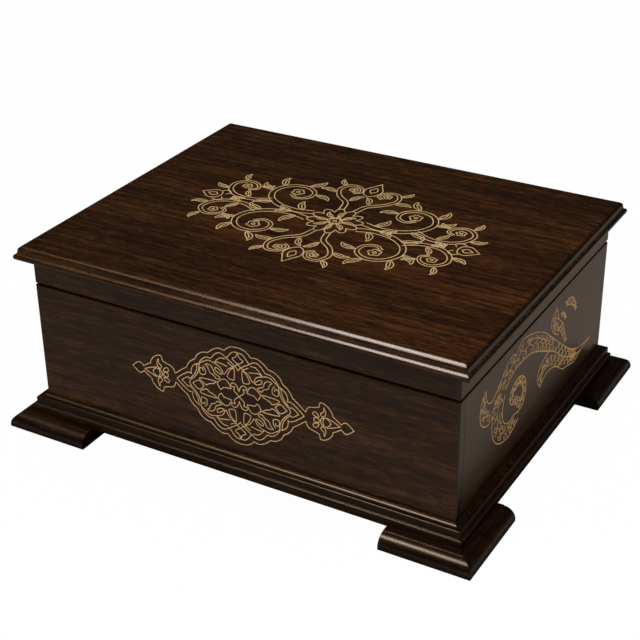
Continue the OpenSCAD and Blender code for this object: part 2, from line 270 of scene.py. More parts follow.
def brass():
    """Satin brass with slight tarnish."""
    graph = Graph("brass")
    place = graph.place()
    tarnish = graph.noise(place, scale=180.0, detail=4.0, roughness=0.6)
    scratches = graph.noise(graph.stretched(place, (60.0, 2600.0, 2600.0)), scale=1.0, detail=2.0)
    graph.principled(
        {
            "Base Color": graph.ramp(tarnish, [(0.35, (0.52, 0.34, 0.12)), (0.62, (0.80, 0.58, 0.25))]),
            "Metallic": 0.6,
            "Roughness": graph.spread(tarnish, 0.42, 0.26),
            "Normal": graph.bump(scratches, strength=0.08, depth=0.05 * MM),
        }
    )
    return graph.material


def screw_steel():
    """Bronzed steel screws, worn bright in spots."""
    graph = Graph("screw_steel")
    wear = graph.noise(graph.place(), scale=420.0, detail=4.0, roughness=0.65)
    graph.principled(
        {
            "Base Color": graph.ramp(wear, [(0.40, (0.10, 0.075, 0.045)), (0.66, (0.30, 0.24, 0.16))]),
            "Metallic": 0.6,
            "Roughness": graph.spread(wear, 0.5, 0.32),
        }
    )
    return graph.material


def velvet():
    """Burgundy velvet with a brushed pile."""
    graph = Graph("velvet")
    place = graph.place()
    brushed = graph.noise(place, scale=16.0, detail=3.0, roughness=0.6)
    pile = graph.noise(place, scale=2600.0, detail=2.0, roughness=0.7)
    tone = graph.weighed([(brushed, 0.7), (pile, 0.3)])
    graph.principled(
        {
            "Base Color": graph.ramp(tone, [(0.36, (0.055, 0.003, 0.008)), (0.64, (0.145, 0.009, 0.020))]),
            "Roughness": 0.85,
            "Specular IOR Level": 0.15,
            "Sheen Weight": 0.7,
            "Sheen Roughness": 0.35,
            "Sheen Tint": (0.85, 0.25, 0.32, 1),
            "Normal": graph.bump(pile, strength=0.5, depth=0.25 * MM),
        }
    )
    return graph.material


# How bright the gold's dull spots are beside its bright ones
DULL_SHARE = 0.65


def gold_line(name, bright):
    """Gold paint, a little uneven; the colour is that of its brightest spots."""
    graph = Graph(name)
    place = graph.place()
    patch = graph.noise(place, scale=90.0, detail=3.0, roughness=0.6)
    grit = graph.noise(place, scale=1500.0, detail=2.0, roughness=0.6)
    tone = graph.weighed([(patch, 0.65), (grit, 0.35)])
    dull = [DULL_SHARE * part for part in bright]
    graph.principled(
        {
            "Base Color": graph.ramp(tone, [(0.36, dull), (0.60, bright)]),
            "Metallic": 0.1,
            "Roughness": 0.5,
            "Normal": graph.bump(grit, strength=0.25, depth=0.06 * MM),
        }
    )
    return graph.material


MATERIALS = {
    "walnut_x": walnut("walnut_x", "X", edge=0.5, rough=0.18),
    # Pieces with their grain along y, such as the side walls, are darkened as painted shade
    "walnut_y": walnut("walnut_y", "Y", edge=0.5, rough=0.18, depth=0.65),
    "walnut_lid": walnut("walnut_lid", "X", edge=1.3, rough=0.16),
    # The base pieces are darker still, as painted shade
    "walnut_base_x": walnut("walnut_base_x", "X", edge=0.6, rough=0.26, depth=0.36),
    "walnut_base_y": walnut("walnut_base_y", "Y", edge=0.6, rough=0.26, depth=0.22),
    "brass": brass(),
    "screw_steel": screw_steel(),
    "velvet": velvet(),
    "gold_front": gold_line("gold_front", (1.0, 0.66, 0.31)),
    "gold_side": gold_line("gold_side", (1.0, 0.61, 0.22)),
    "gold_lid": gold_line("gold_lid", (1.0, 0.68, 0.32)),
}


def walnut_for(name):
    """Which walnut a CAD node takes: the lid board's own, or else by its place and its longer side."""
    if name == "lid_board":
        return "walnut_lid"
    low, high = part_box(name)
    size = high - low
    grain = "_y" if size.y > size.x else "_x"
    return ("walnut_base" if name.startswith(BASE) else "walnut") + grain


def paint_frame():
    """Every CAD node takes the material that its record slot names."""
    slots = {part["node"]: part["material_slot"] for part in frame["record"]["subparts"]}
    for name, node in frame["nodes"].items():
        material = walnut_for(name) if slots[name] == "walnut" else slots[name]
        node.data.materials.clear()
        node.data.materials.append(MATERIALS[material])


# Points on a curve for each of the spans between the points that it is drawn through
CURVE_STEPS = 6


def catmull_rom(a, b, c, d, t):
    """Value at t, from 0 at b to 1 at c, on the curve through four values."""
    slope = (c - a) * t
    bend = (2 * a - 5 * b + 4 * c - d) * t ** 2
    twist = (3 * b - a - 3 * c + d) * t ** 3
    return 0.5 * (2 * b + slope + bend + twist)


def smooth(points, closed=False):
    """Points along a Catmull-Rom curve through the given ones."""
    count = len(points)
    spans = count if closed else count - 1
    line = []
    for i in range(spans):
        if closed:
            p0, p1, p2, p3 = (points[(i + k) % count] for k in (-1, 0, 1, 2))
        else:
            p1, p2 = points[i], points[i + 1]
            p0 = points[i - 1] if i else (2 * p1[0] - p2[0], 2 * p1[1] - p2[1])
            p3 = points[i + 2] if i + 2 < count else (2 * p2[0] - p1[0], 2 * p2[1] - p1[1])
        for step in range(CURVE_STEPS):
            t = step / CURVE_STEPS
            line.append(tuple(catmull_rom(*values, t) for values in zip(p0, p1, p2, p3)))
    if not closed:
        line.append(tuple(points[-1]))
    return line


def tapered(points, start, end):
    """Points along a smooth line, and a size for each that runs from start to end."""
    line = [Vector(point) for point in smooth(points)]
    last = len(line) - 1
    sizes = [start + (end - start) * i / last for i in range(last + 1)]
    return line, sizes


# How much wider than straight across a line's bead may get at a sharp turn
MITRE_LIMIT = 1.7


def mitre(line, i, closed):
    """Across a line at one of its points, longer where the line turns so that its edges run on."""
    count = len(line)
    point = line[i]
    before = line[i - 1] if closed or i else point
    after = line[(i + 1) % count] if closed or i + 1 < count else point
    into = (point - before).normalized() if point != before else (after - point).normalized()
    out = (after - point).normalized() if after != point else into
    along = into + out
    along = along.normalized() if along.length > 1e-6 else into
    return Vector((-along.y, along.x)) / max(along.dot(into), 1 / MITRE_LIMIT)


def add_mesh(name, mesh, material):
    """A smooth-shaded object from a bmesh, which is freed."""
    data = bpy.data.meshes.new(name)
    mesh.to_mesh(data)
    mesh.free()
    for face in data.polygons:
        face.use_smooth = True
    data.materials.append(MATERIALS[material])
    made = bpy.data.objects.new(name, data)
    bpy.context.scene.collection.objects.link(made)
    return made


ONCE = ((1, 1),)
FOUR = ((1, 1), (-1, 1), (1, -1), (-1, -1))


class Drawing:
    """Gold lines on one flat face, in millimetres, gathered into one mesh.

    at(u, v, height) is the point in space at a place on the face and a height over it. Every line is drawn
    once for each of the mirrors about the centre.
    """

    # Section of a line's bead: places across it from -1 to 1, and heights over the face
    SECTION = [(-1, -0.06), (-0.8, 0.05), (0, 0.085), (0.8, 0.05), (1, -0.06)]

    # How far a bead runs past the end of its line, in widths
    OVERRUN = 0.3

    # Leaf of length 1 along u, with its belly towards v
    LEAF = [(0, 0), (0.3, 0.21), (0.62, 0.24), (0.86, 0.12), (1, -0.08), (0.74, -0.05), (0.4, -0.11)]
    MIDRIB = [(0.12, 0.03), (0.45, 0.07), (0.75, 0.04)]

    # Flower of radius 1: reach of the dips between its petals, what the petals add, and its eye
    PETAL_DIP = 0.8
    PETAL_RISE = 0.28
    EYE = [(0.3, 0), (0, 0.3), (-0.3, 0), (0, -0.3)]
    PETAL_POINTS = 6

    # Curl and sprig in a band with a half width of 1, and how far apart they are along it
    CURL = [(-0.7, -0.1), (-0.15, 0.02), (0.35, 0.25), (0.52, 0.6)]
    CURL += [(0.25, 0.88), (-0.15, 0.78), (-0.1, 0.45), (0.15, 0.5)]
    SPRIG = [(0.4, 0.15), (0.75, 0.4), (0.85, 0.85)]
    VINE_STEP = 0.66

    def __init__(self, name, gold, width, at, centre=(0, 0), mirrors=ONCE):
        self.name = name
        self.gold = gold
        self.width = width
        self.at = at
        self.centre = centre
        self.mirrors = mirrors
        self.mesh = bmesh.new()

    def lay(self, line, closed, width):
        """Beads along a line, one for each mirror."""
        for flip_u, flip_v in self.mirrors:
            mirrored = [(self.centre[0] + flip_u * u, self.centre[1] + flip_v * v) for u, v in line]
            self.bead(mirrored, closed, width)

    def stroke(self, points, closed=False, width=None):
        """A smooth line through the points."""
        self.lay(smooth(points, closed), closed, width or self.width)

    def band(self, points, start, end):
        """Both edges of a band that tapers from its start to its end."""
        line, widths = tapered(points, start, end)
        last = len(line) - 1
        sides = ([], [])
        for i, point in enumerate(line):
            along = (line[min(i + 1, last)] - line[max(i - 1, 0)]).normalized()
            across = Vector((-along.y, along.x)) * widths[i] / 2
            sides[0].append(tuple(point + across))
            sides[1].append(tuple(point - across))
        for side in sides:
            self.lay(side, False, self.width)

    def leaf(self, root, angle, length, bend):
        """Curved leaf with a midrib; bend is 1 or -1 and says which side its belly is on."""
        along = Vector((math.cos(math.radians(angle)), math.sin(math.radians(angle)))) * length
        across = Vector((-along.y, along.x)) * bend
        for shape, closed in ((self.LEAF, True), (self.MIDRIB, False)):
            self.stroke([tuple(Vector(root) + along * u + across * v) for u, v in shape], closed)

    def flower(self, middle, radius, petals):
        """Round petals about a middle, in one closed line, and an eye."""
        count = self.PETAL_POINTS * petals
        rim = []
        for i in range(count):
            turn = 2 * math.pi * i / count
            reach = self.PETAL_DIP + self.PETAL_RISE * abs(math.sin(turn * petals / 2))
            rim.append((reach * math.cos(turn), reach * math.sin(turn)))
        for shape in (rim, self.EYE):
            self.stroke([(middle[0] + radius * u, middle[1] + radius * v) for u, v in shape], True)

    def vine(self, points, start, end, width):
        """Curls and sprigs to either side in turn along a band, with its half widths at start and end."""
        line, reaches = tapered(points, start, end)
        travelled = 0.0
        side = 1
        for i in range(len(line) - 1):
            along = line[i + 1] - line[i]
            travelled += along.length
            if travelled < self.VINE_STEP * reaches[i]:
                continue
            travelled = 0.0
            side = -side
            along = along.normalized() * reaches[i]
            across = Vector((-along.y, along.x)) * side
            for shape in (self.CURL, self.SPRIG):
                self.stroke([tuple(line[i] + along * u + across * v) for u, v in shape], width=width)

    def bead(self, line, closed, width):
        """A low, rounded bead of paint along a line, closed all round."""
        line = [Vector(point) for point in line]
        if not closed:
            line[0] = line[0] + (line[0] - line[1]).normalized() * width * self.OVERRUN
            line[-1] = line[-1] + (line[-1] - line[-2]).normalized() * width * self.OVERRUN
        count = len(line)
        rings = []
        for i, point in enumerate(line):
            across = mitre(line, i, closed) * width / 2
            ring = []
            for share, height in self.SECTION:
                spot = point + across * share
                ring.append(self.mesh.verts.new(self.at(spot.x, spot.y, height)))
            rings.append(ring)
        size = len(self.SECTION)
        for i in range(count if closed else count - 1):
            a, b = rings[i], rings[(i + 1) % count]
            for k in range(size):
                self.mesh.faces.new((a[k], a[(k + 1) % size], b[(k + 1) % size], b[k]))
        if not closed:
            self.mesh.faces.new(rings[0])
            self.mesh.faces.new(list(reversed(rings[-1])))

    def finish(self, body):
        """Makes the drawing a piece of a body."""
        bmesh.ops.recalc_face_normals(self.mesh, faces=self.mesh.faces)
        made = add_mesh(self.name, self.mesh, self.gold)
        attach(made, body)


# Width of the gold lines in millimetres: lid, front, sides, and the finer filling of the sides
LID_LINE = 0.85
FRONT_LINE = 0.62
SIDE_LINE = 0.76
FINE_LINE = 0.5

# Middles of the medallion on the front wall and of the arabesque on the lid, in millimetres
MEDALLION_CENTRE = (3.5, 64.5)
ARABESQUE_CENTRE = (2.0, 5.0)

# One quarter of the medallion
MEDALLION_OPEN = [
    # outer scalloped outline, lobe by lobe from the top to the pendant
    [(0, 34.5), (4.5, 33.7), (7.5, 31.9), (9.5, 29.8)],
    [(9.5, 29.8), (13.5, 30.4), (17.5, 28.6), (20, 26.5), (21.8, 25)],
    [(21.8, 25), (25.5, 24.3), (29.2, 21.7), (31.4, 17.9)],
    [(31.4, 17.9), (34.7, 15.5), (36.9, 12.7), (38, 10.2)],
    [(38, 10.2), (42, 7.3), (45.9, 4), (47, 3.3)],
    # inner scalloped outline
    [(0, 30.8), (3, 30.6), (5.5, 28.5), (7, 26.3), (8.3, 25)],
    [(8.3, 25), (10.7, 26.8), (13.7, 27.1), (16.7, 25.2), (18.7, 22.7), (19.7, 21.6)],
    [(19.7, 21.6), (22.7, 21.6), (25.7, 19.7), (27.7, 17.2), (28.7, 15.2)],
    [(28.7, 15.2), (31.2, 14.3), (33.7, 11.7), (34.7, 8.2), (34.3, 6.7)],
    [(34.3, 6.7), (37.2, 6.7), (41.7, 3.7), (45.9, 0)],
    # band from the inner outline down to the pointed end
    [(28.4, 15.5), (28.7, 12.2), (29.9, 8.4), (32.4, 4.9), (35.2, 2.2), (36.5, 0)],
    [(30.2, 14.4), (30.6, 10.6), (32.2, 7.0), (34.8, 3.9), (36.4, 2.5)],
    # arrow and diamond at the pointed end
    [(36.4, 2.5), (37.7, 3.3), (42.2, 0)],
    [(25.7, 0), (28.2, 2.7), (30.3, 2.9), (34, 0)],
    # squared curl beside the band
    [(25.6, 14.6), (24.1, 12.4), (24.2, 9.2), (27.8, 8.4), (28.2, 12.2), (26, 12.8), (25.7, 11.2)],
    # sprays under the inner outline
    [(10.7, 12.9), (12.7, 16.8), (16.7, 18.8), (21.7, 19.7), (26.2, 17.2), (28, 15.8)],
    [(7.9, 19.2), (14.7, 20.3), (17.2, 19.2)],
    [(9.2, 24), (12.7, 23.8), (15.7, 21.2), (17.2, 19.2)],
    # bud and knot at the top
    [(0, 30.6), (1.2, 27.8), (3.8, 26.0), (2.2, 24.2), (0, 22.9)],
    [(8.3, 25), (4.5, 22.7), (1.6, 20.4), (0, 18.4)],
    [(7.3, 22.1), (3.4, 20.3), (0, 22.9)],
    [(3.2, 19.7), (7, 17.7), (10.1, 12.9)],
    # fleur round the middle
    [(0, 0), (3.5, 3.3), (3.2, 6.0), (5.4, 5.9), (5.7, 7.5), (3.5, 8.7), (1.3, 7), (0, 3.5)],
    [(15.4, 5.7), (17, 5.9)],
    # pendant outline and its lozenge
    [(47, 3.3), (48.1, 6.2), (50, 7.7), (53, 8.4), (56.2, 9.5)],
    [(56.2, 9.5), (56.7, 12.2), (58.2, 13), (61.7, 11.5), (64.7, 8.2), (65.5, 5.5)],
    [(65.5, 5.5), (68.3, 3.8), (71, 1.7)],
    [(71, 1.7), (73.2, 3.6), (75.6, 3.4), (79.7, 0)],
    # flower in the pendant
    [(61.5, 3.6), (65.5, 2.2), (70.4, 0)],
    [(59.2, 2.8), (61.2, 3.0), (63.0, 1.6), (64.2, 0)],
    [(57.0, 0), (57.6, 1.9), (59.2, 2.8), (58.6, 0)],
    [(57.0, 0), (54.6, 1.6), (52.6, 1.0), (52.6, 0)],
]

MEDALLION_CLOSED = [
    # leaf beside the diamond
    [(17, 5.9), (22.5, 6.0), (27.7, 5.5), (28.7, 4.6), (25.8, 2.3), (23.5, 1.5), (22, 2.8), (18.3, 4.2)],
    # leaf under the spray, and a drop beside it
    [(13.4, 9.6), (16, 8.1), (18.2, 10.3), (20.7, 11.3), (22.3, 14.7)]
    + [(23.8, 16.3), (20.7, 16.7), (18.7, 15), (17.3, 11.8)],
    [(11.7, 12.9), (14.7, 15.8), (16.7, 15.8), (16.4, 13.8), (13.5, 12.4)],
    # leg of the knot
    [(2.7, 17.7), (3, 12.2), (3.9, 10.6), (7.9, 11.7), (6.2, 16.5), (3.7, 19)],
    # bean beside the fleur
    [(5.8, 4.4), (7.9, 8.4), (10.4, 9.4), (12.7, 8.4), (15.4, 5.7)]
    + [(14.5, 2.8), (12.9, 1.5), (11.1, 3.4), (7, 3.9)],
    # petals of the pendant's flower
    [(58.4, 3.4), (57.2, 5.2), (59.2, 7.2), (59.4, 10.0), (60.6, 7.2), (60.2, 4.6)],
    [(56.0, 2.4), (53.2, 2.4), (51.8, 4.0), (53.0, 5.4), (54.8, 4.6)],
]


def draw_front():
    """Traditional lobed medallion with two pendants on the front wall."""
    face_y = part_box("front_wall")[0].y

    def at(u, v, height):
        return u * MM, face_y - height * MM, v * MM

    drawing = Drawing("ornament_front", "gold_front", FRONT_LINE, at, MEDALLION_CENTRE, FOUR)
    for points in MEDALLION_OPEN:
        drawing.stroke(points)
    for points in MEDALLION_CLOSED:
        drawing.stroke(points, closed=True)
    drawing.finish("case")


SCROLL_OUTLINES = [
    # hook at the front
    [(-82, 92.5), (-87, 88), (-89, 80), (-87, 72.5), (-81, 67.5), (-74, 66.5), (-70, 69)],
    [(-82, 92.5), (-80.5, 86), (-77, 81.5), (-72, 79.5)],
    # arch, top and underside
    [(-72, 79.5), (-64, 84.5), (-56, 91), (-52, 93.5)],
    [(-52, 93.5), (-46, 96.5), (-41, 96), (-38, 94)],
    [(-38, 94), (-31, 99.5), (-20, 98.5), (-5, 93.5), (8, 87), (18, 79.5)],
    [(-52, 77.5), (-45, 82), (-35, 84.7), (-20, 84), (-8, 81), (4, 75.5), (18, 68.5), (30, 62)],
    [(-22, 95.5), (-8, 91), (4, 84.5), (14, 78)],
    # lower lobe and the curl that it ends in
    [(-70, 69), (-70, 58), (-66, 49), (-58, 42.5), (-46, 39.3), (-36, 41), (-29, 44.5)],
    [(-53, 74), (-55, 66), (-54, 58), (-50, 52.5), (-44, 50), (-36, 51), (-29, 49)],
    [(-33, 50.5), (-25, 50.5), (-19.5, 56), (-19, 64), (-23, 71.5), (-32, 75.5), (-41, 73), (-45, 67)],
    [(-45, 67), (-42, 61.5), (-35.5, 58.5), (-31, 54)],
    [(-24, 58), (-23.5, 64), (-27, 69.5), (-33, 71), (-38.5, 68.5)],
    # leaf under the tail
    [(18, 68.5), (8, 66.5), (2, 62), (0, 56), (6, 48)],
    [(6, 48), (11, 52), (20, 53.5), (32, 50), (45, 41.5), (53, 39.5)],
    # tail
    [(18, 79.5), (30, 70.5), (42, 61.5), (55, 52), (66, 45.5), (80, 42), (96, 40.5)],
    [(30, 62), (42, 53), (54, 46), (66, 41), (80, 38.5)],
    [(53, 39.5), (62, 37), (68, 36), (80, 39), (96, 40.5)],
    # leaves over the tail
    [(33, 73), (24, 79), (19, 86), (20, 91), (27, 96)],
    [(27, 96), (29, 91), (33, 84), (40, 78), (46, 66)],
    [(24, 82), (27, 88), (33, 84)],
    [(42, 92.5), (52, 91.5), (58, 87.5), (64, 78)],
    [(64, 78), (56, 84), (48, 88), (42, 92.5)],
    [(34, 88), (40, 86), (45, 80)],
]

# Middle lines of the scroll's bands, each with half its width at the start and at the end
SCROLL_FILLS = [
    ([(-82.5, 89.5), (-84.5, 81), (-80.5, 74), (-73, 73.5)], 2.6, 5.2),
    ([(-68, 75.5), (-60, 82), (-52, 86.8), (-42, 89.8), (-30, 91.7), (-18, 90.3)], 5.5, 6.6),
    ([(-16, 89.8), (-6, 86.3), (6, 80.6), (16, 74.6), (26, 68.5)], 6.4, 4.4),
    ([(28, 67), (38, 60), (48, 53.5), (58, 47.8), (70, 42.8)], 4.0, 2.4),
    ([(-62, 71), (-62, 61), (-59, 52.5), (-51, 46), (-42, 45), (-33, 47)], 7.0, 3.6),
    ([(-30, 53.5), (-24, 57), (-22, 64), (-26, 70.2), (-33, 72.3), (-40, 69.5), (-42, 65)], 3.2, 2.6),
    ([(-40, 64), (-34, 61), (-29, 57)], 2.4, 2.8),
    ([(5, 51), (7, 58), (14, 61.5), (24, 59), (34, 53), (44, 46.8)], 3.6, 4.4),
    ([(27, 94.5), (23, 89), (25, 83.5), (32, 79.5)], 1.8, 3.4),
    ([(32, 79.5), (39, 74.5), (43, 68), (48, 61)], 3.2, 2.0),
    ([(36, 87.5), (41, 84), (44.5, 79.5)], 2.0, 1.6),
    ([(43.5, 91.5), (51, 89.3), (57, 85.5), (62.5, 79.5)], 3.0, 2.4),
    ([(40, 50.5), (50, 45.5), (60, 41.5), (70, 39.5)], 3.8, 2.0),
    ([(-72, 72), (-66, 75), (-58, 75)], 3.6, 4.0),
]


def draw_side(name, face_x, out):
    """Scroll of curved leaves filled with curls, on a face that looks along x; out is 1 or -1."""

    def at(u, v, height):
        return face_x + out * height * MM, u * MM, v * MM

    drawing = Drawing(name, "gold_side", SIDE_LINE, at)
    for points in SCROLL_OUTLINES:
        drawing.stroke(points)
    for points, start, end in SCROLL_FILLS:
        drawing.vine(points, start, end, FINE_LINE)
    drawing.finish("case")


# One quarter of the lid's arabesque: middle lines of the main scroll and of those beside and behind it
MAIN_SCROLL = [(19, 5), (31, 2.5), (45, 5), (56, 13), (60, 25), (54, 36)]
MAIN_SCROLL += [(43, 39), (34, 33), (34, 24), (41, 20), (47, 24)]
SIDE_SCROLL = [(54, 10), (66, 4.5), (79, 5), (88, 12), (90, 22), (83, 29), (75, 27), (72, 20.5), (77, 17)]
BACK_SCROLL = [(5, 18), (8, 29), (17, 37), (22, 47), (18, 56), (10, 55), (7, 48.5), (11, 45)]

# Bands: middle line, width at its start and width at its end
LID_BANDS = [(MAIN_SCROLL, 4.8, 1.8), (SIDE_SCROLL, 3.8, 1.6), (BACK_SCROLL, 3.6, 1.6)]

# Leaves of that quarter: root, angle, length and the side of the belly
LID_LEAVES = [
    ((27, 5), 62, 13, -1),
    ((33, 0), -22, 11, 1),
    ((52, 7), -24, 13, 1),
    ((62, 24), 38, 13, -1),
    ((58, 34), 72, 13, -1),
    ((42, 41), 128, 13, 1),
    ((31, 30), 196, 12, -1),
    ((71, 3), -28, 10, 1),
    ((70, 7), 58, 10, -1),
    ((90.5, 13), 18, 11, -1),
    ((86, 30), 74, 10, -1),
    ((71, 25), 150, 9, 1),
    ((7, 33), 118, 11, -1),
    ((22, 42), 6, 12, 1),
    ((21, 54), 52, 10, -1),
]

LID_FINIALS = [
    [(88, 0), (90, 5), (95, 6.2), (99, 3.4), (103, 0)],
    [(86, 2.6), (84, 6), (87, 8.4), (91, 7.2)],
    [(91, 0), (94, 2.6), (98.5, 0)],
    [(0, 44), (4.6, 48), (6.2, 55), (3.2, 61), (0, 67)],
    [(0, 50), (2.6, 54.5), (0, 60)],
]

# Flowers at the ends of the bands: middle, radius and petals
LID_FLOWERS = [((44.5, 29), 4.2, 5), ((80.5, 21.5), 3.2, 5), ((13, 50), 2.8, 5)]

# Rosette in the middle: its two flowers, and its leaves with the radius of their roots and their length
ROSETTE_FLOWERS = [((0, 0), 17.5, 12), ((0, 0), 4.0, 8)]
ROSETTE_LEAVES = 8
ROSETTE_ROOT = 5.2
ROSETTE_LEAF = 9.0


def draw_lid():
    """Arabesque of scrolling bands, leaves and flowers about a rosette, the same in all four quarters."""
    top_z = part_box("lid_board")[1].z

    def at(u, v, height):
        return u * MM, v * MM, top_z + height * MM

    drawing = Drawing("ornament_lid", "gold_lid", LID_LINE, at, ARABESQUE_CENTRE, FOUR)
    for points, start, end in LID_BANDS:
        drawing.band(points, start, end)
    for root, angle, length, bend in LID_LEAVES:
        drawing.leaf(root, angle, length, bend)
    for points in LID_FINIALS:
        drawing.stroke(points)
    for middle, radius, petals in LID_FLOWERS:
        drawing.flower(middle, radius, petals)
    drawing.mirrors = ONCE
    for middle, radius, petals in ROSETTE_FLOWERS:
        drawing.flower(middle, radius, petals)
    for i in range(ROSETTE_LEAVES):
        angle = 360 / ROSETTE_LEAVES * i
        turn = math.radians(angle)
        root = (ROSETTE_ROOT * math.cos(turn), ROSETTE_ROOT * math.sin(turn))
        drawing.leaf(root, angle, ROSETTE_LEAF, 1)
    drawing.finish("lid")


# Velvet pads: CAD node that each stands for, its body, the sign and axis of its soft face, and its fill
PADS = [
    ("floor_pad", "case", "+Z", 0.7),
    ("lining_front", "case", "+Y", 0.8),
    ("lining_back", "case", "-Y", 0.8),
    ("lining_left", "case", "+X", 0.8),
    ("lining_right", "case", "-X", 0.8),
    ("lid_pad", "lid", "-Z", 0.7),
]

# Width of a pad's rounded edge, and how far the middles of its sides are drawn in
PAD_EDGE = 3.0 * MM
PAD_WAIST = 0.7 * MM

# Spacing of a pad's mesh, and the least number of cells along a side
PAD_SPACING = 4.0 * MM
PAD_LEAST_CELLS = 8

# Shares of a pad's thickness inside its rounded edge and added by its crown, and what the rim keeps of both
PAD_SHOULDER = 0.72
PAD_CROWN = 0.27
PAD_RIM = 0.12


def spaced(count):
    """Places from -1 to 1, closer together towards both ends."""
    return [math.sin(math.pi / 2 * (2 * i / count - 1)) for i in range(count + 1)]


def add_pad(node, body, side):
    """Crowned velvet pad inside a lining node's box; side is the sign and axis of its soft face."""
    low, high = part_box(node)
    size = high - low
    middle = (low + high) / 2
    axis = "XYZ".index(side[1])
    first, second = [i for i in range(3) if i != axis]
    thick = size[axis]
    base, out = (low[axis], 1) if side[0] == "+" else (high[axis], -1)
    edge = min(thick, PAD_EDGE)
    columns, rows = [max(PAD_LEAST_CELLS, round(size[i] / PAD_SPACING)) for i in (first, second)]
    mesh = bmesh.new()

    def point(u, v, soft):
        reach_u = size[first] / 2 - PAD_WAIST * (1 - v * v)
        reach_v = size[second] / 2 - PAD_WAIST * (1 - u * u)
        inset = min(edge, reach_u * (1 - abs(u)), reach_v * (1 - abs(v))) / edge
        crown = PAD_SHOULDER + PAD_CROWN * (1 - u ** 4) * (1 - v ** 4)
        round_over = PAD_RIM + (1 - PAD_RIM) * math.sqrt(1 - (1 - inset) ** 2)
        spot = Vector((0, 0, 0))
        spot[first] = middle[first] + u * reach_u
        spot[second] = middle[second] + v * reach_v
        spot[axis] = base + out * thick * (crown * round_over if soft else 0.0)
        return spot

    layers = []
    for soft in (True, False):
        layers.append([[mesh.verts.new(point(u, v, soft)) for v in spaced(rows)] for u in spaced(columns)])
    for layer in layers:
        for i in range(columns):
            for k in range(rows):
                mesh.faces.new((layer[i][k], layer[i + 1][k], layer[i + 1][k + 1], layer[i][k + 1]))
    top, under = layers
    for i in range(columns):
        for k in (0, rows):
            mesh.faces.new((top[i][k], top[i + 1][k], under[i + 1][k], under[i][k]))
    for k in range(rows):
        for i in (0, columns):
            mesh.faces.new((top[i][k], top[i][k + 1], under[i][k + 1], under[i][k]))
    bmesh.ops.recalc_face_normals(mesh, faces=mesh.faces)
    pad = add_mesh(node + "_velvet", mesh, "velvet")
    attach(pad, body)
    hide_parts(node)


# Width of the floor, and how far it lies under the feet
FLOOR_SIZE = 8.0
FLOOR_DROP = 0.2 * MM

# Floor as the lacquer mirrors it: tones from the box outwards, the dark ones a painted shadow next to it,
# and how far out the last one is, in metres
FLOOR_SHADOW_TONES = [(0.0, (0.03, 0.02, 0.015)), (0.45, (0.2, 0.16, 0.13)), (1.0, (0.38, 0.31, 0.26))]
FLOOR_SHADE = 0.018

# Factor on these tones beside the right end of the box, a painted light, and the x from which it sets in
RIGHT_PAINTED_LIGHT = 1.35
RIGHT_START = 0.11

# Floor as the camera sees it: share and strength of its own white glow beside a white that takes shadow
GLOW_SHARE = 0.97
GLOW = 1.01


def mirrored_floor(graph):
    """Shader of the floor in reflections: dim and warm, with a painted shadow close to the box and painted
    light beside its right end.
    """
    place = graph.node("SeparateXYZ", {"Vector": graph.place()}).outputs
    # Painted shadow: the mirrored floor darkens towards the box
    beside = graph.math("SUBTRACT", graph.math("ABSOLUTE", place["X"]), cad_high[0])
    before = graph.math("SUBTRACT", graph.math("ABSOLUTE", place["Y"]), cad_high[1])
    away = graph.math("MULTIPLY", graph.math("MAXIMUM", beside, before), 1 / FLOOR_SHADE)
    # Painted light: the mirrored floor is paler beside the right end of the box
    painted_light = graph.spread(place["X"], 1.0, RIGHT_PAINTED_LIGHT, start=RIGHT_START, end=cad_high[0])
    return graph.diffuse(graph.scaled(graph.ramp(away, FLOOR_SHADOW_TONES), painted_light))


def add_stage():
    """Floor: white with a faint contact shadow to the camera, toned in reflections with painted shadow and
    light, clear from below.
    """
    bpy.ops.mesh.primitive_plane_add(size=FLOOR_SIZE, location=(0, 0, -FLOOR_DROP))
    floor = bpy.context.object
    floor.name = "floor"
    graph = Graph("floor")
    path = graph.node("LightPath").outputs
    bounce = graph.diffuse((0.5, 0.5, 0.5, 1))
    white = graph.diffuse((0.85, 0.85, 0.85, 1))
    glow = graph.node("Emission", {"Color": (*WHITE, 1), "Strength": GLOW}).outputs["Emission"]
    clear = graph.node("BsdfTransparent").outputs["BSDF"]
    from_below = graph.node("NewGeometry").outputs["Backfacing"]
    seen = graph.mixed_shader(GLOW_SHARE, white, glow)
    unseen = graph.mixed_shader(path["Is Glossy Ray"], bounce, mirrored_floor(graph))
    from_above = graph.mixed_shader(path["Is Camera Ray"], unseen, seen)
    graph.surface(graph.mixed_shader(from_below, from_above, clear))
    floor.data.materials.append(graph.material)


def add_light(name, place, aim, size, power, colour=WHITE):
    """Rectangular lamp: its place, the point it is aimed at and its sides in metres, its power in watts."""
    data = bpy.data.lights.new(name, "AREA")
    data.shape = "RECTANGLE"
    data.size, data.size_y = size
    data.energy = power
    data.color = colour
    lamp = bpy.data.objects.new(name, data)
    lamp.location = place
    lamp.rotation_euler = (Vector(aim) - Vector(place)).to_track_quat("-Z", "Y").to_euler()
    bpy.context.scene.collection.objects.link(lamp)
    return lamp


def shine_only_on(lamp, pieces):
    """Keeps a lamp off everything but some pieces."""
    lit = bpy.data.collections.new(lamp.name + "_lit")
    for piece in pieces:
        lit.objects.link(piece)
    lamp.light_linking.receiver_collection = lit


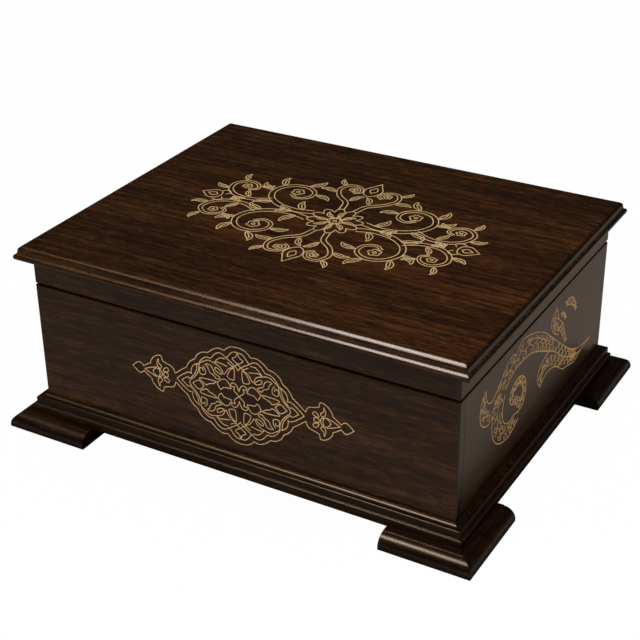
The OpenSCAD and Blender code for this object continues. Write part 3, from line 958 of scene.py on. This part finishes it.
def add_lights():
    """Soft light on everything, reflections on the lid and the base, and light on two places in shade."""
    nodes = frame["nodes"]
    lid = nodes["lid_board"]
    plinth = nodes["plinth_board"]
    base = [piece for name, piece in nodes.items() if name.startswith(BASE)]
    underside = [piece for name, piece in nodes.items() if name.startswith(UNDERSIDE)]

    overhead = add_light("overhead", (0.45, -0.6, 1.5), (0, 0, 0.1), (0.9, 0.9), 15.0)
    overhead.visible_glossy = False
    # Beside lamps that shine only on some pieces, this one would otherwise count twice on those pieces
    overhead.data.cycles.use_multiple_importance_sampling = False

    strip = add_light("strip", (-0.35, -0.23, 1.6), (-0.35, -0.23, 0), (0.7, 0.95), 25.5, (1, 0.93, 0.85))
    shine_only_on(strip, [lid])
    lid_front = (0.05, -0.1, 0.13)
    window = add_light("window", (-0.42, -0.85, 1.38), lid_front, (0.62, 0.5), 9.5, (1, 0.96, 0.92))
    shine_only_on(window, [lid])
    glint = add_light("glint", (-0.5, -0.56, 1.6), (-0.5, -0.56, 0), (0.44, 0.55), 16.0, (1, 0.77, 0.54))
    shine_only_on(glint, base)
    ember = add_light("ember", (-0.79, -0.5, 1.5), (-0.1, -0.12, 0.1), (0.34, 0.9), 2.9, (1, 0.48, 0.14))
    shine_only_on(ember, [lid, plinth])
    for lamp in (strip, window, glint, ember):
        lamp.visible_diffuse = False

    under = add_light("under", (0, 0, -0.9), (0, 0, 0), (0.4, 0.4), 4.0)
    under.visible_glossy = False
    shine_only_on(under, underside)
    under.light_linking.blocker_collection = under.light_linking.receiver_collection
    fill = add_light("fill", (-0.2, -1.3, 0.8), (0, -0.12, 0.06), (0.5, 0.5), 4.4, (1, 0.9, 0.74))
    shine_only_on(fill, [bpy.data.objects["ornament_front"]])


# Camera at the photo's angle, in degrees and millimetres
CAMERA_AZIMUTH = 30.11
CAMERA_ELEVATION = 28.73
CAMERA_ROLL = -0.70
CAMERA_DISTANCE = 950
CAMERA_TARGET = (6.78, -23.92, 73.62)
CAMERA_LENS = 81.78
CAMERA_SENSOR = 36.0


def add_camera():
    """Stands where the photo was taken from, level but for a slight roll."""
    azimuth = math.radians(CAMERA_AZIMUTH)
    elevation = math.radians(CAMERA_ELEVATION)
    roll = math.radians(CAMERA_ROLL)
    level = math.cos(elevation)
    back = Vector((math.sin(azimuth) * level, -math.cos(azimuth) * level, math.sin(elevation)))
    right = Vector((0, 0, 1)).cross(back).normalized()
    up = back.cross(right)
    turned_right = math.cos(roll) * right + math.sin(roll) * up
    turned_up = math.cos(roll) * up - math.sin(roll) * right
    data = bpy.data.cameras.new("camera")
    data.sensor_width = CAMERA_SENSOR
    data.lens = CAMERA_LENS
    camera = bpy.data.objects.new("camera", data)
    axes = Matrix((turned_right, turned_up, back)).transposed()
    place = (Vector(CAMERA_TARGET) + back * CAMERA_DISTANCE) * MM
    camera.matrix_world = Matrix.Translation(place) @ axes.to_4x4()
    bpy.context.scene.collection.objects.link(camera)
    bpy.context.scene.camera = camera


# Brightness of the surroundings: as light on everything, and as the lacquer mirrors them
WORLD_LIGHT = 0.25
WORLD_MIRRORED = 0.02


def add_world():
    """White to the camera, almost black in reflections, and a little soft light on everything else."""
    world = bpy.data.worlds.new("studio")
    world.use_nodes = True
    tree = world.node_tree
    background = tree.nodes["Background"]
    background.inputs["Color"].default_value = (*WHITE, 1)
    path = tree.nodes.new("ShaderNodeLightPath")
    dim = tree.nodes.new("ShaderNodeMix")
    dim.inputs["A"].default_value = WORLD_LIGHT
    dim.inputs["B"].default_value = WORLD_MIRRORED
    tree.links.new(path.outputs["Is Glossy Ray"], dim.inputs["Factor"])
    seen = tree.nodes.new("ShaderNodeMix")
    seen.inputs["B"].default_value = 1.0
    tree.links.new(path.outputs["Is Camera Ray"], seen.inputs["Factor"])
    tree.links.new(dim.outputs["Result"], seen.inputs["A"])
    tree.links.new(seen.outputs["Result"], background.inputs["Strength"])
    bpy.context.scene.world = world
    bpy.context.scene.view_settings.view_transform = "Standard"


draw_front()
draw_side("ornament_right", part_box("right_wall")[1].x, 1)
draw_side("ornament_left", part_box("left_wall")[0].x, -1)
draw_lid()
for node, body, side, fill in PADS:
    add_pad(node, body, side)
paint_frame()
add_stage()
add_lights()
add_camera()
add_world()
